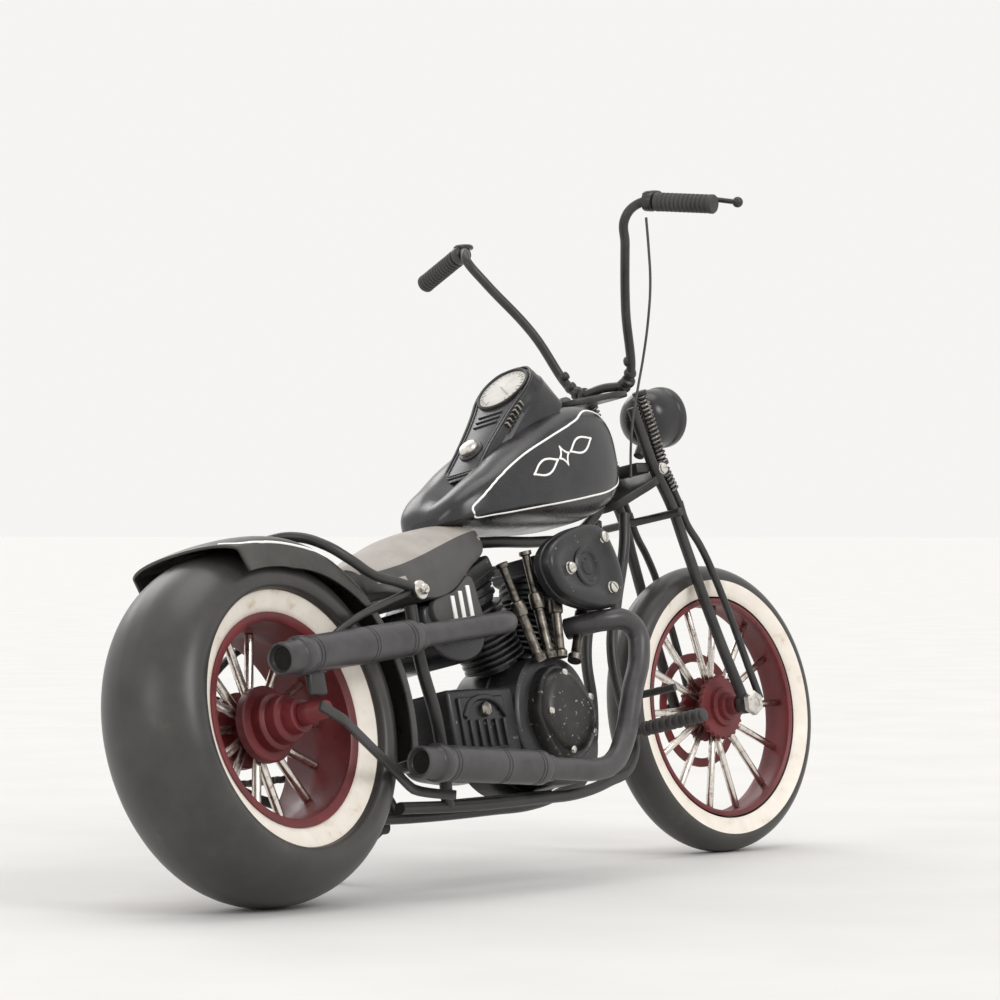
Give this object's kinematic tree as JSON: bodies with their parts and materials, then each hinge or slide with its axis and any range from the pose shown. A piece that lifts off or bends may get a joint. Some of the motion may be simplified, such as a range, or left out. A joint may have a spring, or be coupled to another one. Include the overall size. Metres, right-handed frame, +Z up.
{
  "type": "model motorcycle",
  "caption": "Hand-made metal model of a bobber motorcycle with a fat rear tyre, springer fork, high handlebar and twin exhausts, leaning on a side stand.",
  "frame": {"origin": "on the floor at the middle of the bounding box, below the motorcycle", "axes": "+X from the rear wheel to the front wheel, +Y to the rider's left (the side it leans to), +Z up"},
  "size_m": [0.3202, 0.1314, 0.208],
  "materials": {
    "frame_black": "satin black enamel over metal, worn at edges",
    "body_black": "semi-gloss black enamel",
    "fork_black": "satin black enamel",
    "engine_black": "black enamel rubbed through to metal at the edges",
    "engine_worn": "bare metal with dark wash",
    "exhaust_black": "satin grey-black enamel",
    "wheel_red": "brushed oxide-red paint",
    "tyre_black": "smooth black with a cream sidewall band",
    "grip_black": "matte ribbed",
    "seat_grey": "grey paint, darker on the sides",
    "bright": "bright fasteners",
    "dial_white": "pale dial face",
    "lens": "clear lens",
    "cable_black": "black sheathed cable"
  },
  "bodies": {
    "frame": {"steering_head": "frame_black", "backbone_tube": "frame_black", "cradle_tube_right": "frame_black", "cradle_tube_left": "frame_black", "seat_stay_right": "frame_black", "seat_stay_left": "frame_black", "axle_bar_right": "frame_black", "axle_bar_left": "frame_black", "base_plate": "frame_black", "rear_fender": "body_black", "fender_strap": "frame_black", "seat_bolt": "bright", "seat": "seat_grey", "oil_tank": "body_black", "fuel_tank": "body_black", "dash_console": "body_black", "dial": "dial_white", "dash_knob": "bright", "crankcase": "engine_black", "rear_cylinder": "engine_black", "front_cylinder": "engine_black", "pushrod_rear_outer": "engine_worn", "pushrod_rear_inner": "engine_worn", "pushrod_front_inner": "engine_worn", "pushrod_front_outer": "engine_worn", "timing_cover": "engine_worn", "air_cleaner": "body_black", "gearbox": "engine_black", "primary_cover": "engine_worn", "drive_chain": "engine_worn", "upper_exhaust": "exhaust_black", "lower_exhaust": "exhaust_black", "foot_peg_right": "grip_black", "foot_peg_left": "grip_black", "rear_axle": "wheel_red"},
    "steering": {"fork_trees": "fork_black", "handlebar": "fork_black", "grip_right": "grip_black", "grip_left": "grip_black", "brake_cable": "cable_black", "fork_leg_right": "fork_black", "fork_leg_left": "fork_black", "spring_leg_right": "fork_black", "spring_leg_left": "fork_black", "fork_spring_right": "engine_worn", "fork_spring_left": "engine_worn", "fork_brace": "fork_black", "headlamp": "body_black", "headlamp_lens": "lens", "front_axle": "bright", "front_axle_nut": "bright"},
    "lever": {"brake_lever": "fork_black"},
    "rear_wheel": {"rear_tyre": "tyre_black", "rear_rim": "wheel_red", "rear_hub_and_spokes": "wheel_red"},
    "front_wheel": {"front_tyre": "tyre_black", "front_rim": "wheel_red", "front_hub_and_spokes": "wheel_red"},
    "stand": {"side_stand": "frame_black"}
  },
  "joints": [
    {"name": "steering", "type": "hinge", "parent": "frame", "child": "steering", "pos_m": [0.04735, 0.003, 0.17585], "axis": [-0.4395, 0.2045, 0.8747], "range_deg": [-18, 32]},
    {"name": "rear_wheel_spin", "type": "hinge", "parent": "frame", "child": "rear_wheel", "pos_m": [-0.11061, -0.0267, 0.04881], "axis": [0, 0.9737, -0.2277], "continuous": true},
    {"name": "front_wheel_spin", "type": "hinge", "parent": "steering", "child": "front_wheel", "pos_m": [0.11438, -0.02763, 0.04563], "axis": [0.1097, 0.9852, -0.1317], "continuous": true},
    {"name": "brake_lever_pull", "type": "hinge", "parent": "steering", "child": "lever", "pos_m": [0.07226, -0.03805, 0.2056], "axis": [0.0055, -0.1527, -0.9883], "range_deg": [0, 8], "stiffness_Nm_per_rad": 0.02},
    {"name": "side_stand_fold", "type": "hinge", "parent": "frame", "child": "stand", "pos_m": [-0.04361, -0.01907, 0.01731], "axis": [0.0579, 0.6553, 0.7531], "range_deg": [0, 79]}
  ]
}
